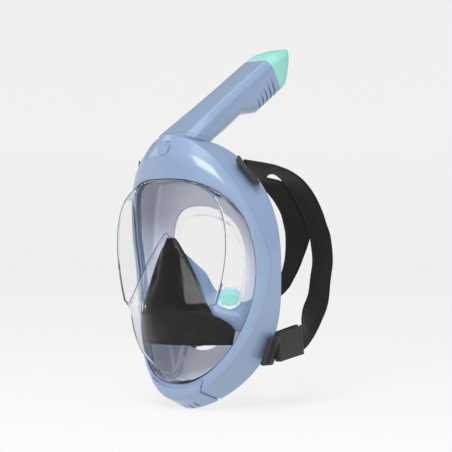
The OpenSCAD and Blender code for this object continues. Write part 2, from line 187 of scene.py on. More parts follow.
def placed(obj, body, slot, *replaced):
    """Rides obj on a body and hides the CAD nodes it stands for; slot, its finish, is not used."""
    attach(obj, body)
    if replaced:
        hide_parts(*replaced)
    return obj


def cut(obj, cutter):
    """Takes cutter out of obj for good."""
    apply_boolean(obj, cutter, "DIFFERENCE")


def apply_boolean(obj, other, operation):
    mod = obj.modifiers.new("join", "BOOLEAN")
    mod.operation = operation
    mod.solver = "EXACT"
    mod.object = other
    depsgraph = bpy.context.evaluated_depsgraph_get()
    result = bpy.data.meshes.new_from_object(obj.evaluated_get(depsgraph))
    obj.modifiers.clear()
    old = obj.data
    obj.data = result
    result.name = obj.name
    bpy.data.meshes.remove(old)
    bpy.data.objects.remove(other)
    result.shade_smooth()
    result.set_sharp_from_angle(angle=math.radians(SHARP_ANGLE))


# ---------- material making ----------
class Shader:
    """A short way to write a Principled material with texture nodes behind it."""

    def __init__(self, name, **settings):
        self.material = bpy.data.materials.new(name)
        self.material.use_nodes = True
        self.tree = self.material.node_tree
        self.bsdf = self.tree.nodes["Principled BSDF"]
        self.coords = self.add("ShaderNodeTexCoord")
        for key, value in settings.items():
            self.bsdf.inputs[key.replace("_", " ")].default_value = value

    def add(self, kind, inputs=None, **attributes):
        made = self.tree.nodes.new(kind)
        for key, value in attributes.items():
            setattr(made, key, value)
        for key, value in (inputs or {}).items():
            if isinstance(value, bpy.types.NodeSocket):
                self.tree.links.new(value, made.inputs[key])
            else:
                made.inputs[key].default_value = value
        return made

    def noise(self, size_mm, detail=3.0, source="Object"):
        """Noise whose blobs are about size_mm across."""
        return self.add("ShaderNodeTexNoise", {
            "Vector": self.coords.outputs[source], "Scale": 1 / (size_mm * MM), "Detail": detail,
        }).outputs["Fac"]

    def remap(self, value, low, high, from_low=0.3, from_high=0.7):
        return self.add("ShaderNodeMapRange", {
            "Value": value, "From Min": from_low, "From Max": from_high,
            "To Min": low, "To Max": high}).outputs["Result"]

    def blend(self, factor, a, b):
        """Colour a where factor is 0 and b where it is 1."""
        made = self.add("ShaderNodeMix", {"Factor": factor}, data_type="RGBA")
        for socket, value in (("A", a), ("B", b)):
            target = next(s for s in made.inputs if s.name == socket and s.type == "RGBA")
            if isinstance(value, bpy.types.NodeSocket):
                self.tree.links.new(value, target)
            else:
                target.default_value = value
        return next(s for s in made.outputs if s.type == "RGBA")

    def math(self, operation, a, b):
        return self.add("ShaderNodeMath", {0: a, 1: b}, operation=operation).outputs[0]

    def feed(self, socket, value):
        self.tree.links.new(value, self.bsdf.inputs[socket])

    def bump(self, height, depth_mm, strength=1.0):
        normal = self.add("ShaderNodeBump", {
            "Height": height, "Distance": depth_mm * MM, "Strength": strength})
        self.feed("Normal", normal.outputs["Normal"])

    def clear_to_lamps(self, tint):
        """Lets lamps shine through, so that what is behind the surface is lit."""
        path = self.add("ShaderNodeLightPath").outputs["Is Shadow Ray"]
        through = self.add("ShaderNodeBsdfTransparent", {"Color": tint}).outputs["BSDF"]
        output = self.tree.nodes["Material Output"]
        mixed = self.add("ShaderNodeMixShader", {"Fac": path, 1: self.bsdf.outputs["BSDF"], 2: through})
        self.tree.links.new(mixed.outputs["Shader"], output.inputs["Surface"])


def rgb(r, g, b):
    """Linear colour from display values of 0 to 255."""
    def linear(v):
        v /= 255
        return v / 12.92 if v <= 0.04045 else ((v + 0.055) / 1.055) ** 2.4
    return linear(r), linear(g), linear(b), 1.0


def grey(v):
    return v, v, v, 1.0


def shade(colour, factor):
    return tuple(c * factor for c in colour[:3]) + (1.0,)


def moulded(name, colour, roughness, grain_mm=0.35, grain_depth=0.02, wear=0.06, **settings):
    """Moulded plastic or rubber: fine grain, faint clouding, uneven gloss and pale worn edges."""
    s = Shader(name, **settings)
    clouds = s.noise(22, 4)
    base = s.blend(clouds, shade(colour, 0.965), shade(colour, 1.035))
    edge = s.add("ShaderNodeNewGeometry").outputs["Pointiness"]
    worn = s.math("MULTIPLY", s.remap(edge, 0.0, wear, 0.53, 0.62), s.noise(1.2, 3))
    s.feed("Base Color", s.blend(worn, base, rgb(235, 238, 240)))
    scuffs = s.noise(4, 6)
    s.feed("Roughness", s.remap(scuffs, roughness - 0.05, roughness + 0.07))
    s.bump(s.noise(grain_mm, 2), grain_depth)
    return s.material


def glassy(name, colour, roughness, ior, lamp_tint, streak_mm=30):
    """Clear or frosted see-through material with a faintly uneven surface."""
    s = Shader(name, Transmission_Weight=1.0, IOR=ior, Specular_IOR_Level=0.1)
    clouds = s.noise(streak_mm, 3)
    s.feed("Base Color", s.blend(clouds, shade(colour, 0.97), colour))
    s.feed("Roughness", s.remap(s.noise(6, 5), roughness * 0.8, roughness * 1.25))
    s.bump(s.noise(40, 1), 0.05)
    s.clear_to_lamps(lamp_tint)
    return s.material


def silicone(name, colour, roughness, clear, lamp_tint):
    """Milky silicone: partly see-through, partly lit inside."""
    s = Shader(name, Transmission_Weight=clear, IOR=1.41)
    clouds = s.noise(15, 4)
    s.feed("Base Color", s.blend(clouds, shade(colour, 0.94), colour))
    s.feed("Roughness", s.remap(s.noise(3, 4), roughness - 0.05, roughness + 0.06))
    s.bump(s.noise(0.6, 2), 0.03)
    s.clear_to_lamps(lamp_tint)
    return s.material


def webbing(name, colour):
    """Woven strap: ribs across the width and a fine thread along it."""
    s = Shader(name, Sheen_Weight=0.1, Sheen_Roughness=0.4, Specular_IOR_Level=0.15)
    uv = s.coords.outputs["UV"]
    rib = s.add("ShaderNodeTexWave",
                {"Vector": uv, "Scale": 150.0, "Distortion": 0.4, "Detail": 1.0},
                bands_direction="X").outputs["Fac"]
    thread = s.add("ShaderNodeTexWave",
                   {"Vector": uv, "Scale": 260.0, "Distortion": 0.6, "Detail": 1.0},
                   bands_direction="Y").outputs["Fac"]
    weave = s.math("MULTIPLY", rib, thread)
    fuzz = s.noise(0.5, 3)
    tone = s.math("ADD", s.math("MULTIPLY", weave, 0.6), s.math("MULTIPLY", fuzz, 0.5))
    s.feed("Base Color", s.blend(tone, shade(colour, 0.55), shade(colour, 1.5)))
    s.feed("Roughness", s.remap(fuzz, 0.72, 0.9))
    s.bump(s.math("ADD", weave, s.math("MULTIPLY", fuzz, 0.4)), 0.25)
    return s.material


def brushed(name, colour):
    """Bright drawn wire."""
    s = Shader(name, Metallic=1.0)
    lines = s.noise(0.2, 2)
    s.feed("Base Color", s.blend(lines, shade(colour, 0.85), colour))
    s.feed("Roughness", s.remap(lines, 0.2, 0.4))
    return s.material


BLUE = rgb(139, 160, 192)
MINT = rgb(152, 222, 208)
mats = {
    "blue_frame": moulded("blue_frame", BLUE, 0.34, Coat_Weight=0.7, Coat_Roughness=0.08),
    "mint_plastic": moulded("mint_plastic", MINT, 0.4),
    "clear_visor": glassy("clear_visor", (0.985, 0.988, 0.99, 1.0), 0.02, 1.18, grey(0.97)),
    # Dark tinted glass for the thin lines that paint the dark refraction lines where the visor turns and
    # the shade in the groove at the rim.
    "visor_painted_shade": glassy("visor_painted_shade", (0.16, 0.18, 0.24, 1.0), 0.15, 1.3, (0.5, 0.5, 0.55, 1.0)),
    "frosted_silicone": silicone("frosted_silicone", rgb(226, 229, 242), 0.35, 0.45,
                                 (0.75, 0.75, 0.78, 1.0)),
    "clear_silicone": glassy("clear_silicone", (0.98, 0.98, 0.985, 1.0), 0.05, 1.12, grey(0.97)),
    "blue_silicone": silicone("blue_silicone", rgb(124, 142, 174), 0.35, 0.12, (0.6, 0.64, 0.75, 1.0)),
    "black_silicone": moulded("black_silicone", (0.005, 0.005, 0.006, 1.0), 0.42, 0.5, 0.006, 0.003,
                                Specular_IOR_Level=0.12),
    "mint_silicone": moulded("mint_silicone", rgb(118, 186, 176), 0.35, 0.5, 0.02, 0.02),
    "inner_plastic": moulded("inner_plastic", rgb(174, 187, 211), 0.3),
    "clip_plastic": moulded("clip_plastic", (0.03, 0.03, 0.032, 1.0), 0.5, 0.3, 0.04, 0.05,
                             Specular_IOR_Level=0.3),
    "strap_webbing": webbing("strap_webbing", (0.015, 0.015, 0.0155, 1.0)),
    "spring_steel": brushed("spring_steel", (0.7, 0.7, 0.72, 1.0)),
}


# ---------- outlines of the body ----------
def rear_y(c):
    return 3 - 28 * c ** 2.2 if c >= 0 else 3 + 6 * sin(-180 * c) ** 2 - 34 * c ** 6


def rear_at(t, inset=0, back=0):
    x, z = oval(t, REAR_HALF - inset, BROW_H - 7 - inset, inset - CHIN_H, 5, (2.2, 2.25), (1.9, 1.9))
    return Vector((x, rear_y(cos(t)) + back, z))


def ridge_at(t, inset=0, back=0):
    x, z = oval(t, RIDGE_HALF - inset, BROW_H - 3 - inset, 10 - CHIN_H + inset, 8, (1.88, 1.88),
                (1.92, 1.92))
    c = cos(t)
    y = -12 - 48 * c ** 1.2 if c >= 0 else -12 - 42 * c * c
    return Vector((x, y + back, z))


def rim_y(x, z):
    rise = -17 + 7.5 * ((z - 30) / 58) ** 2 if z > 30 else -17 + 24 * ((30 - z) / 141) ** 1.1
    return LENS_Y + 50 * (abs(x) / RIM_HALF) ** 2.5 + rise


def rim_at(t, grow=0, back=0):
    across, along = (2.8, 2.6), (2.4, 1.8)
    x, z = oval(t, RIM_HALF + grow, BROW_H - 46 + grow, 25.6 - CHIN_H - grow, 8, across, along)
    x0, z0 = oval(t, RIM_HALF, BROW_H - 46, 25.6 - CHIN_H, 8, across, along)
    return Vector((x, rim_y(x0, z0) + back, z))


def lens_edge(t, scale=1.0):
    x, z = oval(t, LENS_HALF, BROW_H - 49, 31 - CHIN_H, 22, (3, 2.6), (1.7, 1.6))
    narrow = 1 - 0.2 * clamp01((-32 - z) / 14)
    return x * scale * narrow, 22 + (z - 22) * scale


MUZZLE_TIP = 36
LENS_HUB_Z = 22             # height of the middle of the lens
VEE_BOTTOM = -34            # below this the V line runs straight down


def muzzle_half(z):
    return 54 * (max(0, MUZZLE_TIP - z) / 70) ** 0.85


def muzzle_ridge(z):
    if z > -35:
        return LENS_Y - 4 - 24 * ((MUZZLE_TIP - z) / 71) ** 0.9
    return LENS_Y - 28 + 32 * ((-35 - z) / 71) ** 1.8


def lens_face(x):
    return LENS_Y - 5 * (1 - (x / LENS_HALF) ** 2)


def visor_y(x, z):
    half = muzzle_half(max(z, VEE_BOTTOM))
    if z >= MUZZLE_TIP or half <= 0 or abs(x) >= half:
        return lens_face(x)
    return mix(muzzle_ridge(z), lens_face(half), (abs(x) / half) ** 1.6)


def crown_at(t, back=0):
    top = 5 * max(0, cos(t)) ** 2
    p = rim_at(t, 3, 0) * 0.45 + ridge_at(t) * 0.55
    return p - Vector((0, 1.5 + top - back, 0))


# ---------- clear visor ----------
BEAD_W = 1.6                # half width of the moulded lines along the V and the lens edge
BEAD_H = 0.7                # how far those lines stand proud
LENS_LINE_R = 0.4           # radius of the dark painted line round the lens, which paints the dark refraction line there
RIM_LINE_R = 0.5            # radius of the dark painted shade line along the rim
LENS_RINGS = 22             # rings inside the V of the muzzle
FACE_RINGS = 14             # rings from the V out to the edge of the lens
WALL_RINGS = 8              # rings from the edge of the lens back to the rim


def muzzle_exit(t):
    """How far out along a ray from the hub the V line lies, 1 being the edge of the lens."""
    low, high = 0.0, 0.97
    x, z = lens_edge(t, high)
    if z < MUZZLE_TIP and abs(x) < muzzle_half(max(z, VEE_BOTTOM)):
        return high
    for _ in range(24):
        middle = (low + high) / 2
        x, z = lens_edge(t, middle)
        inside = z < MUZZLE_TIP and abs(x) < muzzle_half(max(z, VEE_BOTTOM))
        low, high = (middle, high) if inside else (low, middle)
    return max(low, 0.03)


def visor_row(t, back):
    """One ray of the visor from its hub to the rim."""
    split = muzzle_exit(t)
    reach = BEAD_W / Vector(lens_edge(t)).length
    low, high = max(split - reach, split * 0.5), min(split + reach, mix(split, 1, 0.5))
    scales = [(low * (k + 1) / LENS_RINGS, 0) for k in range(LENS_RINGS)]
    scales += [(mix(low, split, 0.5), 0.7), (split, 1), (mix(split, high, 0.5), 0.7), (high, 0)]
    scales += [(mix(high, 1 - reach, (k + 1) / FACE_RINGS), 0) for k in range(FACE_RINGS)]
    scales += [(1 - reach / 2, 0.6), (1, 0)]
    row = []
    for scale, bead in scales:
        x, z = lens_edge(t, scale)
        raised = 0 if back else bead * BEAD_H
        row.append(Vector((x, visor_y(x, z) + back - raised, z)))
    edge = row[-1]
    rim = rim_at(t, -3 if back > 0 else -0.5, 1 + back)
    wall = rim_at(t, -2, 0)
    knee = Vector((mix(edge.x, wall.x, 0.7), mix(edge.y - back, wall.y, 0.75) + back,
                   mix(edge.z, wall.z, 0.7)))
    for k in range(1, WALL_RINGS + 1):
        f = k / WALL_RINGS
        a, b = (edge + (knee - edge) * min(1, f * 2)), (knee + (rim - knee) * max(0, f * 2 - 1))
        row.append(a if f <= 0.5 else b)
    return row


def make_visor():
    bm = bmesh.new()
    grids = []
    for back in (0, VISOR_WALL):
        hub = bm.verts.new((0, visor_y(0, LENS_HUB_Z) + back, LENS_HUB_Z))
        rows = [[bm.verts.new(p) for p in visor_row(t, back)] for t in ring_angles()]
        for i, row in enumerate(rows):
            after = rows[(i + 1) % ROUND_STEPS]
            bm.faces.new((hub, row[0], after[0]))
            for j in range(len(row) - 1):
                bm.faces.new((row[j], row[j + 1], after[j + 1], after[j]))
        grids.append(rows)
    outer, inner = grids
    for i in range(ROUND_STEPS):
        k = (i + 1) % ROUND_STEPS
        bm.faces.new((outer[i][-1], inner[i][-1], inner[k][-1], outer[k][-1]))
    obj = add_object("clear_visor_shell", bm, mats["clear_visor"], 14)
    placed(obj, "root", "clear_visor", "visor")


def lens_loop():
    """Points round the flat lens: over the top of its edge and back along the V."""
    edge = [lens_edge(t) for t in range(-120, 121, 2)]
    side = [(muzzle_half(z), z) for z in range(VEE_BOTTOM, MUZZLE_TIP + 1, 2)]
    vee = side + [(-x, z) for x, z in side[-2::-1]]
    return [Vector((x, visor_y(x, z) - 0.2, z)) for x, z in edge + vee]


def line_into(bm, loop, radius, sides=6):
    """Thin closed line through a loop of points."""
    count = len(loop)
    sections = []
    for i, point in enumerate(loop):
        run = (loop[(i + 1) % count] - loop[i - 1]).normalized()
        across = run.cross(Vector((0, 1, 0))).normalized()
        other = run.cross(across)
        sections.append([point + (across * cos(a) + other * sin(a)) * radius
                         for a in ring_angles(sides)])
    loft_into(bm, sections)


def make_visor_lines():
    """Dark painted lines: round the lens and along the V they paint the dark refraction lines where the
    visor turns, and at the rim they paint the shade in the groove between visor and frame.
    """
    bm = bmesh.new()
    line_into(bm, lens_loop(), LENS_LINE_R)
    line_into(bm, [rim_at(t, -0.6, -0.3) for t in range(0, 360, 2)], RIM_LINE_R)
    obj = add_object("visor_painted_shade_lines", bm, mats["visor_painted_shade"], 80)
    placed(obj, "root", "clear_visor")


make_visor()
make_visor_lines()


# ---------- frames ----------
CHIN_SPAN = 21
COVER_T = 2
DRAIN_SLOTS = 5             # slots in the under side of the chin cover
DRAIN_PITCH = 7


def chin_step(t):
    return COVER_T if abs(t - 180) < CHIN_SPAN else 0


def on_snorkel(x, y, z):
    """Point of the snorkel's local frame: z runs up the tube and y is its under side."""
    base_y, base_z = 24 + LENS_Y, BROW_H - 5
    return Vector((x, base_y + y * cos(SNORKEL_TILT) + z * sin(SNORKEL_TILT),
                   base_z - y * sin(SNORKEL_TILT) + z * cos(SNORKEL_TILT)))


MOUTH_W = 20
MOUTH_D = 13
SEAM_W = 25
SEAM_SLANT = -math.tan(math.radians(SNORKEL_TILT - 12))
BULGE_FROM = 68
BULGE_RUN = 20
BULGE_D = 12
CAP_FROM = SNORKEL_L - 44
SWELL_D = 2
SPIGOT_W, SPIGOT_D, SPIGOT_L = 34, 17, 14


def tube_corners(s, inset, slant, w, drop, sink):
    """Corners of the tube's section, from its under side round by +X to its flat top and back."""
    w -= inset
    top, under = MOUTH_D - inset - sink, MOUTH_D + drop - inset
    half = [(0.3 * w, under), (0.75 * w, under - 1.5), (0.96 * w, under - 6), (w, 10 - top),
            (0.97 * w, 6 - top), (0.72 * w, -top)]
    both = half + [(-x, y) for x, y in half[::-1]]
    return [on_snorkel(x, y, s - slant * y) for x, y in both]


TUBE_RADII = (6, 5, 5, 2.5, 1.3, 1.5)


def tube_section(s, inset=0, slant=0.0, w=MOUTH_W, drop=0.0, sink=0.0):
    return rounded(tube_corners(s, inset, slant, w, drop, sink), TUBE_RADII + TUBE_RADII[::-1], 5)


def seam_section(inset, lift):
    return tube_section(lift, inset, SEAM_SLANT, SEAM_W, 0)


def stadium(w, d, z, steps=14):
    """Slot-shaped outline in the snorkel's local frame, in the order of its corners."""
    points = []
    for k in range(4 * steps):
        a = 90 - (k + 0.5) * 360 / (4 * steps)
        x = math.copysign((w - d) / 2, cos(a)) + d / 2 * cos(a)
        points.append(on_snorkel(x, d / 2 * sin(a), z))
    return points


def scratch(name, sections, ring=False):
    """Cutter mesh, used once and removed."""
    return loft(name, sections, mats["blue_frame"], ring)


def socket_cutter():
    """Space above the seam, where the socket and the snorkel's foot sit."""
    return scratch("cutter", [seam_section(2.7, -11), seam_section(0.2, -5), seam_section(-0.4, 0.1),
                              seam_section(-0.6, 40)])


def foot_cutter():
    """Way through the frame for the snorkel's spigot and its socket."""
    w, d = SPIGOT_W + 7.5, SPIGOT_D + 7.5
    return scratch("cutter", [stadium(w, d, -SPIGOT_L - 5), stadium(w, d, 1)])


BUTTON_AT = Vector((0, LENS_Y - 8, BROW_H - 16.5))
BUTTON_D = 14


def disc_sections(profile, centre, steps=48):
    """Solid of revolution round the Y axis: profile is (radius, y) from front to back."""
    return [[centre + Vector((r * cos(a), y, r * sin(a)))
             for a in ring_angles(steps)] for r, y in profile]


def bore_cutter():
    radius = BUTTON_D / 2 + 0.4
    return scratch("cutter", disc_sections([(radius, -26), (radius, 24)], BUTTON_AT))


def make_front_frame():
    sections = []
    for t in ring_angles():
        s = chin_step(t)
        corners = [rim_at(t, 0, s - 1.5), rim_at(t, 3, s - 1.5), crown_at(t, s), ridge_at(t, s, s / 2),
                   ridge_at(t, FRAME_WALL + s, FRAME_WALL), crown_at(t, FRAME_WALL + s),
                   rim_at(t, 2, 3 + s), rim_at(t, 0, 3 + s)]
        sections.append(rounded(corners, (0.8, 1.2, 12, 0.6, 0.4, 12, 0.5, 0.5), 6))
    obj = loft("front_shell", sections, mats["blue_frame"])
    for cutter in (socket_cutter(), foot_cutter(), bore_cutter()):
        cut(obj, cutter)
    placed(obj, "root", "blue_frame", "front_frame")


def make_rear_frame():
    sections = []
    for t in ring_angles():
        s = chin_step(t)
        corners = [ridge_at(t, s, s / 2), rear_at(t, s, -2), rear_at(t, 2 + s, 0),
                   rear_at(t, FRAME_WALL + 3, 0), ridge_at(t, FRAME_WALL + s + 1, FRAME_WALL + 1)]
        sections.append(rounded(corners, (0.6, 1.6, 1.0, 0.8, 0.5), 5))
    obj = loft("rear_shell", sections, mats["blue_frame"])
    for cutter in (socket_cutter(), foot_cutter()):
        cut(obj, cutter)
    placed(obj, "root", "blue_frame", "rear_frame")


make_front_frame()
make_rear_frame()


def make_chin_cover():
    sections = []
    steps = 48
    for i in range(steps + 1):
        t = 180 - (CHIN_SPAN - 1) + i * 2 * (CHIN_SPAN - 1) / steps
        corners = [rim_at(t, 4, -1.5), crown_at(t), ridge_at(t), rear_at(t, 0, -2),
                   rear_at(t, COVER_T - 0.1, -2), ridge_at(t, COVER_T - 0.1, 0.9),
                   crown_at(t, COVER_T - 0.1), rim_at(t, 4, COVER_T - 1.6)]
        sections.append(rounded(corners, (0.5, 8, 1.2, 0.6, 0.5, 1, 8, 0.5), 4))
    obj = loft("chin_shell", sections, mats["blue_frame"], ring=False)
    for i in range(DRAIN_SLOTS):
        centre = Vector(((i - (DRAIN_SLOTS - 1) / 2) * DRAIN_PITCH, -37, 3 - CHIN_H))
        outline = [(-1, -4), (1, -4), (1, 4), (-1, 4)]
        cut(obj, scratch("cutter", [[centre + Vector((x, y, z)) for x, y in outline]
                                    for z in (-CUTTER_REACH, CUTTER_REACH)]))
    placed(obj, "root", "blue_frame", "chin_cover")


make_chin_cover()


# ---------- soft parts on the face side ----------
def opening_at(t, grow=0):
    return oval(t, REAR_HALF - 40 + grow, BROW_H - 72 + grow, 57 - CHIN_H - grow, 5,
                (2.4, 2.4), (2.2, 2.2))


def lip_y(t):
    return -3 - 15 * max(0, cos(t)) ** 2 - 12 * max(0, -cos(t)) ** 4


def make_skirt():
    sections = []
    for t in ring_angles():
        lip, lip_in = opening_at(t), opening_at(t, 1)
        rear, root = rear_at(t, 7), rim_at(t, -1)
        corners = [
            Vector((lip[0], lip_y(t), lip[1])), rear + Vector((0, 1, 0)), root + Vector((0, 8, 0)),
            Vector((root.x * 0.985, root.y + 8, 5 + (root.z - 5) * 0.985)),
            Vector((rear.x * 0.965, rear.y - 3, 5 + (rear.z - 5) * 0.965)),
            Vector((lip_in[0], lip_y(t) - SKIRT_WALL, lip_in[1]))]
        sections.append(rounded(corners, (1.0, 7, 0.8, 0.8, 7, 1.0), 5))
    obj = loft("face_seal_skirt", sections, mats["frosted_silicone"], sharp=60)
    placed(obj, "root", "frosted_silicone", "face_skirt")


make_skirt()


def make_lip_flap():
    """Thin clear flap that runs inwards from the opening to a small bead."""
    sections = []
    for t in ring_angles():
        x, z = opening_at(t, 0.5)
        root = Vector((x, lip_y(t) - 1, z))
        tip = Vector((x * 0.84, root.y + 3, 5 + (z - 5) * 0.84))
        run = (tip - root).normalized()
        side = run.cross(Vector((cos(t), 0, -sin(t)))).normalized()
        sections.append([root + side * 0.3, tip - run * 0.8 + side * 0.3, tip - run * 0.5 + side * 0.8,
                         tip + side * 0.3, tip - side * 0.3, tip - run * 0.5 - side * 0.8,
                         tip - run * 0.8 - side * 0.3, root - side * 0.3])
    obj = loft("face_seal_flap", sections, mats["clear_silicone"], sharp=70)
    placed(obj, "root", "frosted_silicone")


make_lip_flap()

CUP_TOP = 31
CUP_BOTTOM = -72
CUP_ROWS = 70
CUP_COLS = 72


def cup_flare(z):
    return clamp01((-43 - z) / 15) ** 0.8


def cup_relief(z, a):
    """Hollows beside the bridge of the nose and under its tip, and a turned lower edge."""
    wing = 3.2 * math.exp(-((z + 8) / 14) ** 2 - ((a - 44) / 15) ** 2)
    under = 7 * smooth01((-31 - z) / 10) * math.exp(-(a / 36) ** 2)
    under *= 1 - 0.6 * smooth01((-52 - z) / 18)
    crease = 1.6 * math.exp(-((z + 42 + 0.12 * a) / 3.5) ** 2) * smooth01((a - 25) / 20)
    return wing + under + crease


def cup_point(z, a, wall):
    half = 5 + 43 * clamp01((CUP_TOP - z) / 76) ** 0.8 + 13 * cup_flare(z)
    half -= 4.5 * clamp01((-57 - z) / 15)
    front = LENS_Y - 1 - 12 * clamp01((CUP_TOP - z) / 100) ** 1.2
    back = -57 + 12 * clamp01((CUP_TOP - z) / 76) + 14 * cup_flare(z)
    y = mix(back, front + wall, max(0, cos(a)) ** (0.8 + 0.9 * cup_flare(z)))
    return Vector(((half - wall) * sin(a), y + cup_relief(z, abs(a)), z))


def make_nose_cup():
    bm = bmesh.new()
    sections = []
    for k in range(CUP_ROWS + 1):
        z = mix(CUP_TOP, CUP_BOTTOM, k / CUP_ROWS)
        angles = [mix(-85, 85, j / CUP_COLS) for j in range(CUP_COLS + 1)]
        sections.append([cup_point(z, a, 0) for a in angles]
                        + [cup_point(z, a, SKIRT_WALL) for a in angles[::-1]])
    loft_into(bm, sections, ring=False)
    obj = add_object("nose_cup_shell", bm, mats["black_silicone"], 50)
    placed(obj, "root", "black_silicone", "nose_cup")


make_nose_cup()


VALVE_AT = Vector((46, -25, -28.5))
VALVE_TURN, VALVE_LEAN = 43, 36     # how far it looks outwards and up
VALVE_OUT = Vector((sin(VALVE_TURN) * cos(VALVE_LEAN), -cos(VALVE_TURN) * cos(VALVE_LEAN),
                    sin(VALVE_LEAN)))
VALVE_BORE_R = 10.5
SEPTUM_EDGE = [(13, -53, 17), (30, -46, 1), (44, -39, -11), (60, -32, -17), (78, -27, -22)]
SEPTUM_FOOT = [(12, -50, 2), (25, -45, -28), (40, -38, -53), (58, -27, -58), (76, -22, -56)]
SEPTUM_COLS = 64
SEPTUM_ROWS = 32


def mirrored(p, side):
    return Vector((side * p.x, p.y, p.z))


def make_septum(side):
    """Curved ramp beside the nose cup that carries an inhale valve, flat round the valve."""
    upper, lower = [Vector(p) for p in SEPTUM_EDGE], [Vector(p) for p in SEPTUM_FOOT]
    bm = bmesh.new()
    rows = []
    for i in range(SEPTUM_COLS + 1):
        u = i / SEPTUM_COLS * (len(upper) - 1)
        a, b = catmull(upper, u), catmull(lower, u)
        row = []
        for j in range(SEPTUM_ROWS + 1):
            p = a.lerp(b, j / SEPTUM_ROWS)
            off = (p - VALVE_AT).dot(VALVE_OUT)
            away = (p - VALVE_AT - VALVE_OUT * off).length
            p = p - VALVE_OUT * (off - 1) * (1 - smooth01((away - 14) / 16))
            row.append(p)
        rows.append(row)
    sections = []
    for row in rows:
        under = [p - VALVE_OUT * 1.8 for p in row[::-1]]
        sections.append([mirrored(p, side) for p in row + under])
    loft_into(bm, sections, ring=False)
    name = "left" if side > 0 else "right"
    obj = add_object("septum_wing_" + name, bm, mats["blue_silicone"], 60)
    axis, centre = mirrored(VALVE_OUT, side), mirrored(VALVE_AT, side)
    cut(obj, scratch("cutter", [round_row(centre, axis, VALVE_BORE_R, h)
                                for h in (-CUTTER_REACH, CUTTER_REACH)]))
    placed(obj, "root", "blue_silicone", "septum_" + name)


def round_row(centre, axis, radius, height, steps=48):
    """Circle of points round an axis, height along it from the centre."""
    first = axis.orthogonal().normalized()
    second = axis.cross(first)
    return [centre + axis * height + (first * cos(a) + second * sin(a)) * radius
            for a in ring_angles(steps)]


make_septum(1)
make_septum(-1)


def turned_into(bm, profile, centre, axis, steps=48):
    """Solid of revolution from (radius, height) corners, closed on itself."""
    loft_into(bm, [[centre + axis * h + spoke * r for r, h in profile]
                   for spoke in round_row(Vector(), axis, 1, 0, steps)])


def bar_into(bm, centre, axis, along, reach, width, low, high):
    """Bar through the centre, reaching out both ways."""
    across = axis.cross(along) * width / 2
    loft_into(bm, [[centre + along * (reach * sign) + across * u + axis * h
                    for u, h in ((-1, low), (1, low), (0.7, high), (-0.7, high))]
                   for sign in (-1, 1)], ring=False)


def make_inhale_valve(side):
    """Pale seat ring with spokes, and the mint disc that lies on it."""
    name = "left" if side > 0 else "right"
    axis, centre = mirrored(VALVE_OUT, side), mirrored(VALVE_AT, side)
    first = axis.cross(Vector((0, 0, 1))).normalized()
    second = axis.cross(first)
    seat = bmesh.new()
    turned_into(seat, [(VALVE_BORE_R, 1), (12.6, 1), (13, 1.4), (13, 2.3), (12.5, 2.6), (10.9, 2.6),
                       (VALVE_BORE_R, 2.2)], centre, axis)
    for along in (first + second, first - second):
        bar_into(seat, centre, axis, along.normalized(), 10.6, 1.6, 1.2, 2.3)
    ring = add_object("inhale_seat_ring_" + name, seat, mats["inner_plastic"])
    placed(ring, "root", "inner_plastic", "inhale_seat_" + name)
    disc = bmesh.new()
    turned_into(disc, [(0.01, 3.1), (9.2, 3.1), (9.5, 3.3), (9.5, 3.8), (9.1, 4.0), (8.4, 3.7),
                       (3.2, 3.7), (2.7, 4.3), (0.01, 4.5)], centre, axis)
    for along in (first, second):
        bar_into(disc, centre, axis, along, 8.6, 1.3, 3.5, 4.15)
    flap = add_object("inhale_flap_disc_" + name, disc, mats["mint_silicone"])
    placed(flap, "inhale_valve_" + name, "mint_silicone", "inhale_flap_" + name)


make_inhale_valve(1)
make_inhale_valve(-1)


# ---------- snorkel ----------
def smooth_rows(keys, per_span):
    """Section settings between key rows, blended smoothly."""
    out = []
    for a, b in zip(keys, keys[1:]):
        for k in range(per_span):
            f = k / per_span
            out.append([mix(u, v, f) for u, v in zip(a, b)])
    return out + [list(keys[-1])]


def curved_rows(keys, per_span):
    """Section settings that pass through the key rows on one smooth curve."""
    vectors = [Vector(key) for key in keys]
    count = (len(keys) - 1) * per_span
    return [list(catmull(vectors, i / per_span)) for i in range(count + 1)]


LOUVRES = 5
LOUVRE_PITCH = 7


def louvre_blade(k):
    """Thin curved blade that cuts the k-th louvre, longer towards the cap."""
    start = 10.5 - 2.1 * k
    first = BULGE_FROM + BULGE_RUN + 3
    blade = []
    for x in (-40, 40):
        upper, lower = [], []
        for i in range(9):
            y = mix(start, MOUTH_D + BULGE_D + 3, i / 8)
            z = first + LOUVRE_PITCH * k + 0.008 * max(0, MOUTH_D + BULGE_D - y) ** 1.9
            lower.append(on_snorkel(x, y, z))
            upper.append(on_snorkel(x, y, z + 2.3 * smooth01(i / 4) + 0.4))
        blade.append(upper + lower[::-1])
    return blade


def make_tube():
    """Rows hold the place, inset, slant, half width and drop of the under side."""
    def rows(inset, first, last):
        seam = inset + (1 if inset else 0)
        keys = [(first, seam, SEAM_SLANT, SEAM_W, 0),
                (35, inset, 0, MOUTH_W + 1.5, SWELL_D),
                (BULGE_FROM, inset, 0, MOUTH_W, SWELL_D),
                (BULGE_FROM + BULGE_RUN, inset, 0, MOUTH_W, BULGE_D),
                (last, inset, 0, MOUTH_W, BULGE_D)]
        return [tube_section(*row) for row in smooth_rows(keys, 8)]

    obj = loft("snorkel_tube_shell", rows(0, 0.3, CAP_FROM), mats["blue_frame"], ring=False)
    cut(obj, scratch("cutter", rows(TUBE_WALL, 0.2, CAP_FROM + 1)))
    for k in range(LOUVRES):
        cut(obj, scratch("cutter", louvre_blade(k)))
    placed(obj, "snorkel", "blue_frame", "snorkel_tube")


make_tube()


